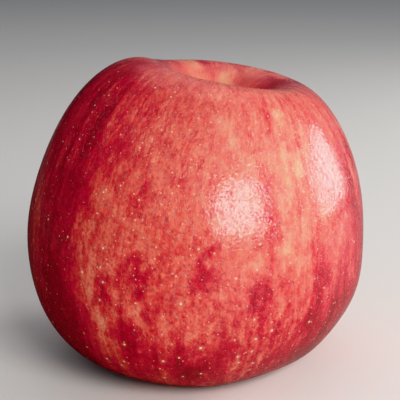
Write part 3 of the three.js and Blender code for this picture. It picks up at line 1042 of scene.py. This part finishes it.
# %% [markdown]
# ## The calyx
# Under the fruit the flower's five sepals are still there, dried and curled, round a tuft of dead
# stamens. Each sepal is a thin blade whose outline narrows to a point, bent along a path that first
# goes down with the slope of the hollow and then curls. Fine down grows along the blades. A curve
# given a thickness would be quicker, but it has no cupped face and no rib. All of it is dry and
# matt, with veins along each blade.

# %% Calyx
# Lengths are in mm, and the slopes and the curl of a sepal in degrees.
BUTTON_LOW = 7.3
SEPALS = 5
SEPAL_LENGTH = 6.6
SEPAL_WIDTH = 3.4
SEPAL_FOOT_OUT = 1.5
SEPAL_FOOT_UP = 0.6
SEPAL_THICKNESS = 0.34
SEPAL_NARROWING = 0.45
SEPAL_THINNING = 0.5
SEPAL_WAVY_EDGE = 0.07
SEPAL_EDGE = 0.08
SEPAL_RUFFLE = 0.16
SEPAL_CUPPING = 0.25
SEPAL_RIB = 0.06
SEPAL_RIB_WIDTH = 0.12
SEPAL_FIRST_SLOPE = -62
SEPAL_SLOPE_CHANGE = 40
SEPAL_CURL = 26
SEPAL_CURL_SWING = 16
SEPAL_STEPS = 44
SEPAL_SIDES = 28
SEPAL_FACING = np.radians(18)


def sepal_turns(sepal):
    """Where one sepal points, a fifth of a turn from the last, and how far its tip curls."""
    facing = SEPAL_FACING + 2 * np.pi * sepal / SEPALS
    return facing, SEPAL_CURL + SEPAL_CURL_SWING * np.sin(2.3 * sepal)


def sepal_frame(facing, curl, steps):
    """The bent middle line of a sepal: steps of equal length whose slope changes with their share."""
    share = np.linspace(0, 1, steps + 1)[:, None]
    slope = np.radians(SEPAL_FIRST_SLOPE + SEPAL_SLOPE_CHANGE * share - curl * share**3)
    away = np.array([np.cos(facing), np.sin(facing), 0])
    across = np.array([-np.sin(facing), np.cos(facing), 0])
    along = np.cos(slope) * away + np.sin(slope) * np.array([0, 0, 1])
    strides = along * SEPAL_LENGTH / steps
    strides[0] = np.array([HEART[0], HEART[1], BUTTON_LOW + SEPAL_FOOT_UP]) + SEPAL_FOOT_OUT * away
    return share, strides.cumsum(axis=0), across, np.cross(along, across)


def sepal_part(facing, curl, ruffle):
    """Rings round the middle line: a flat oval as wide as the blade, cupped, with a wavy edge."""
    share, middle, across, back = sepal_frame(facing, curl, SEPAL_STEPS)
    half_width = SEPAL_WIDTH / 2 * np.sqrt(1 - 0.999 * share**2) * (1 - SEPAL_NARROWING * share)
    half_width = half_width * (1 + SEPAL_WAVY_EDGE * np.cos(19 * share + ruffle)) + SEPAL_EDGE
    half_thick = SEPAL_THICKNESS / 2 * (1 - SEPAL_THINNING * share)
    angle = (2 * np.pi * np.arange(SEPAL_SIDES) / SEPAL_SIDES)[None]
    side = np.cos(angle)
    wave = SEPAL_RUFFLE * side**2 * np.cos(14 * share + 3 * side + ruffle) * share
    lift = half_thick * np.sin(angle) - SEPAL_CUPPING * half_width * side**2 + wave
    rib = SEPAL_RIB * bell(side, 0, SEPAL_RIB_WIDTH) * np.sign(np.sin(angle))
    lift = lift + rib * (1 - share)
    rings = middle[:, None] + (half_width * side)[..., None] * across + lift[..., None] * back[:, None]
    places = np.stack([half_width * side, lift, SEPAL_LENGTH * share + 0 * angle], axis=-1)
    points = closed_points(rings * MM, middle[0] * MM, middle[-1] * MM)
    grain = closed_points(places * MM, (0, 0, 0), (0, 0, SEPAL_LENGTH * MM))
    return points, grain


print("a sepal is", SEPAL_LENGTH, "mm long and", SEPAL_WIDTH, "mm wide")

# %% Stamens and down
STAMENS = 14
STAMEN_LENGTH = 2.9
STAMEN_RADIUS = 0.2
STAMEN_SIDES = 10
STAMEN_RINGS = 12
STAMEN_ROOT_UP = 1.6
HAIRS_ON_A_SEPAL = 70
HAIR_RADIUS = 0.035
HAIR_REACH = 0.9
HAIR_RISE = 0.35
HAIR_SIDES = 4
HAIR_RINGS = 4


def thread_part(start, end, radius, sides, steps, sag):
    """A thin thread from start to end that bows sideways and tapers: rings of a shrinking radius."""
    share = np.linspace(0, 1, steps)[:, None]
    middle = start + (end - start) * share + sag * (share * (1 - share))
    way = (end - start) / np.linalg.norm(end - start)
    one = np.cross(way, [0.31, 0.87, 0.37])
    one = one / np.linalg.norm(one)
    other = np.cross(way, one)
    angle = 2 * np.pi * np.arange(sides) / sides
    around = np.cos(angle)[:, None] * one + np.sin(angle)[:, None] * other
    rings = middle[:, None] + (radius * (1 - 0.6 * share))[..., None] * around
    places = np.concatenate([0 * share + radius, 0 * share, share * STAMEN_LENGTH], axis=-1)
    grain = np.repeat(places[:, None], sides, axis=1)
    points = closed_points(rings * MM, middle[0] * MM, middle[-1] * MM)
    return points, closed_points(grain * MM, grain[0, 0] * MM, grain[-1, 0] * MM)


calyx_parts, calyx_grain = [], []


def add_to_calyx(points, grain, rings, sides):
    """Keeps one closed part with its faces and its grain."""
    calyx_parts.append((points, *ring_faces(rings, sides)))
    calyx_grain.append(grain)


for sepal in range(SEPALS):
    add_to_calyx(*sepal_part(*sepal_turns(sepal), 1.7 * sepal), SEPAL_STEPS + 1, SEPAL_SIDES)

draw = np.random.default_rng(4)
for stamen in range(STAMENS):
    facing = 2 * np.pi * stamen / STAMENS + draw.uniform(-0.2, 0.2)
    away = np.array([np.cos(facing), np.sin(facing), 0])
    root = np.array([HEART[0], HEART[1], BUTTON_LOW + STAMEN_ROOT_UP]) + draw.uniform(0.3, 1.3) * away
    end = root + draw.uniform(-0.3, 0.9) * away - [0, 0, STAMEN_LENGTH * draw.uniform(0.8, 1.25)]
    sag = 0.9 * draw.uniform(-1, 1, 3)
    thread = thread_part(root, end, STAMEN_RADIUS, STAMEN_SIDES, STAMEN_RINGS, sag)
    add_to_calyx(*thread, STAMEN_RINGS, STAMEN_SIDES)

for sepal in range(SEPALS):
    share, middle, across, back = sepal_frame(*sepal_turns(sepal), SEPAL_STEPS)
    for hair in range(HAIRS_ON_A_SEPAL):
        step = draw.integers(2, SEPAL_STEPS - 2)
        sideways = draw.uniform(-1, 1) * SEPAL_WIDTH / 2 * (1 - share[step, 0])
        root = middle[step] + sideways * across - 0.1 * back[step]
        tip = root + HAIR_REACH * draw.uniform(-1, 1, 3) * [1, 1, 0.5] - HAIR_RISE * back[step]
        thread = thread_part(root, tip, HAIR_RADIUS, HAIR_SIDES, HAIR_RINGS, np.zeros(3))
        add_to_calyx(*thread, HAIR_RINGS, HAIR_SIDES)

calyx = make_piece("dried_calyx", calyx_parts)
give_numbers(calyx, "grain_place", np.concatenate(calyx_grain))

# %% Calyx finish
CALYX_VEINS = {"Width": 0.00035, "Length": 0.0035, "Detail": 3.0, "Wander": 0.3}
CALYX_STAINS = {"Width": 0.0012, "Length": 0.002, "Detail": 2.0, "Wander": 0.6}
CALYX_DARK = paint(78, 60, 38)
CALYX_PALE = paint(150, 130, 92)
CALYX_STAINED = paint(96, 92, 58)
CALYX_BUMP = 0.0001


def calyx_finish():
    """Dark and pale veins with duller stains over them, matt all over."""
    material, tree, shader = new_material("dried_calyx")
    grain = stored(tree, "grain_place", "Vector")
    veins = grown(tree, grain, CALYX_VEINS)
    stains = grown(tree, grain, CALYX_STAINS)
    colour = mix_paint(tree, smooth_step(tree, veins, 0.35, 0.65), CALYX_DARK, CALYX_PALE)
    colour = mix_paint(tree, smooth_step(tree, stains, 0.42, 0.68), colour, CALYX_STAINED)
    rough = smooth_step(tree, veins, 0.3, 0.7, 0.75, 0.95)
    feed_shader(tree, shader, colour, rough, veins, CALYX_BUMP)
    return material


calyx.data.materials.append(calyx_finish())
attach(calyx, "root")
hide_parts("calyx")
print("the calyx is made of", len(calyx_parts), "closed parts")

# %% [markdown]
# ## Floor and light
# The floor is a plain pale disc. The skin is glossy, so it shows its surroundings, and most of the
# work here is to give it the right ones. It mirrors two soft windows, one in front on the right and
# one far round to the right. A mirror's rule gives their places: the direction of a light is that
# of the view, turned about the skin's normal at the middle of its reflection. Two area lights stand
# there, as wide as the reflections say, and a pale wall, a ceiling and a pale sky fill the shade.
#
# The left side of the skin mirrors something darker than the floor, and the right side something
# brighter. The Light Path node tells a mirrored ray from a direct one, so the floor is darker in
# reflections than it looks, most of all beside the fruit on the left, and the sky that a reflection
# shows is dim on the left and brighter towards the right. This is part of the stage, not of the part.

# %% Floor
FLOOR_RADIUS = 6
FLOOR_SIDES = 96
FLOOR_COLOUR = paint(219, 216, 213)
FLOOR_ROUGHNESS = 0.6
MIRRORED_FLOOR_COLOUR = paint(168, 150, 146)
MIRRORED_CARD_COLOUR = paint(104, 74, 70)
CARD_PLACE = (-0.14, 0, 0)
CARD_SHAPE = (1, 0.24, 1)
CARD_EDGE = (0.16, 0.11)

floor_turn = 2 * np.pi * np.arange(FLOOR_SIDES) / FLOOR_SIDES
floor_rim = np.stack([np.cos(floor_turn), np.sin(floor_turn), 0 * floor_turn], axis=-1) * FLOOR_RADIUS
floor_mesh = bpy.data.meshes.new("floor")
floor_mesh.from_pydata(floor_rim.tolist(), [], [list(range(FLOOR_SIDES))])
floor = bpy.data.objects.new("floor", floor_mesh)
bpy.context.collection.objects.link(floor)


def floor_finish():
    """The plain floor, and for mirrored rays a darker one with a long oval card in it."""
    material, tree, shader = new_material("floor")
    place = put(tree, "ShaderNodeTexCoord").outputs["Object"]
    from_card = vectors(tree, "MULTIPLY", vectors(tree, "SUBTRACT", place, CARD_PLACE), CARD_SHAPE)
    carded = smooth_step(tree, vectors(tree, "LENGTH", from_card), *CARD_EDGE)
    mirrored = put(tree, "ShaderNodeLightPath").outputs["Is Glossy Ray"]
    mirrored_paint = mix_paint(tree, carded, MIRRORED_FLOOR_COLOUR, MIRRORED_CARD_COLOUR)
    floor_paint = mix_paint(tree, mirrored, FLOOR_COLOUR, mirrored_paint)
    tree.links.new(floor_paint, shader.inputs["Base Color"])
    shader.inputs["Roughness"].default_value = FLOOR_ROUGHNESS
    return material


floor_mesh.materials.append(floor_finish())
print("the floor is", 2 * FLOOR_RADIUS, "m across")

# %% Lights
LIGHT_AIM = np.array([0, 0, 45]) * MM
WARM_WHITE = (1.0, 0.98, 0.95)
WHITE = (1.0, 1.0, 1.0)
LIGHTS = [
    # name, facing and height in degrees, distance, width and height in metres, watts, colour
    ("front_window", 29, 26, 0.9, 0.47, 0.46, 8.6, WARM_WHITE),
    ("side_window", 106, 15, 0.9, 0.4, 0.34, 6.6, WARM_WHITE),
    ("pale_wall", -20, 50, 2.2, 3, 2, 2.4, WHITE),
    ("ceiling", 165, 66, 2, 1.8, 1.8, 5, WHITE),
]


def soft_window(name, facing, height, distance, width, tall, power, colour):
    """An area light at a facing in degrees to the right of the camera's side and a height in degrees."""
    side, up = np.radians(facing), np.radians(height)
    way = np.array([np.sin(side) * np.cos(up), -np.cos(side) * np.cos(up), np.sin(up)])
    light = bpy.data.lights.new(name, "AREA")
    light.shape = "RECTANGLE"
    light.size = width
    light.size_y = tall
    light.energy = power
    light.color = colour
    lamp = bpy.data.objects.new(name, light)
    lamp.location = LIGHT_AIM + distance * way
    lamp.rotation_euler = Vector(way).to_track_quat("Z", "Y").to_euler()
    bpy.context.collection.objects.link(lamp)
    return lamp


for light in LIGHTS:
    lamp = soft_window(*light)
    print(lamp.name, "stands at", lamp.location)

# %% Room
ROOM_COLOUR = paint(214, 218, 224)
ROOM_STRENGTH = 0.45
BRIGHT_SIDE = (1.0, 0.3, 0.55)
BRIGHT_SIDE_EDGE = (-0.1, 0.7)
MIRRORED_STRENGTHS = (0.07, 0.36)

world = bpy.data.worlds.new("room")
world.use_nodes = True
room = world.node_tree
mirrored = put(room, "ShaderNodeLightPath").outputs["Is Glossy Ray"]
way_out = put(room, "ShaderNodeTexCoord").outputs["Generated"]
to_bright_side = put(room, "ShaderNodeVectorMath", {0: way_out, 1: BRIGHT_SIDE}, operation="DOT_PRODUCT")
reflected = smooth_step(room, to_bright_side.outputs["Value"], *BRIGHT_SIDE_EDGE, *MIRRORED_STRENGTHS)
room_strength = put(room, "ShaderNodeMix", {0: mirrored, 2: ROOM_STRENGTH, 3: reflected}).outputs[0]
room.nodes["Background"].inputs["Color"].default_value = ROOM_COLOUR
room.links.new(room_strength, room.nodes["Background"].inputs["Strength"])
bpy.context.scene.world = world
bpy.context.scene.view_settings.view_transform = "Khronos PBR Neutral"
print("the room's light is", ROOM_STRENGTH, "and mirrored it is", MIRRORED_STRENGTHS)
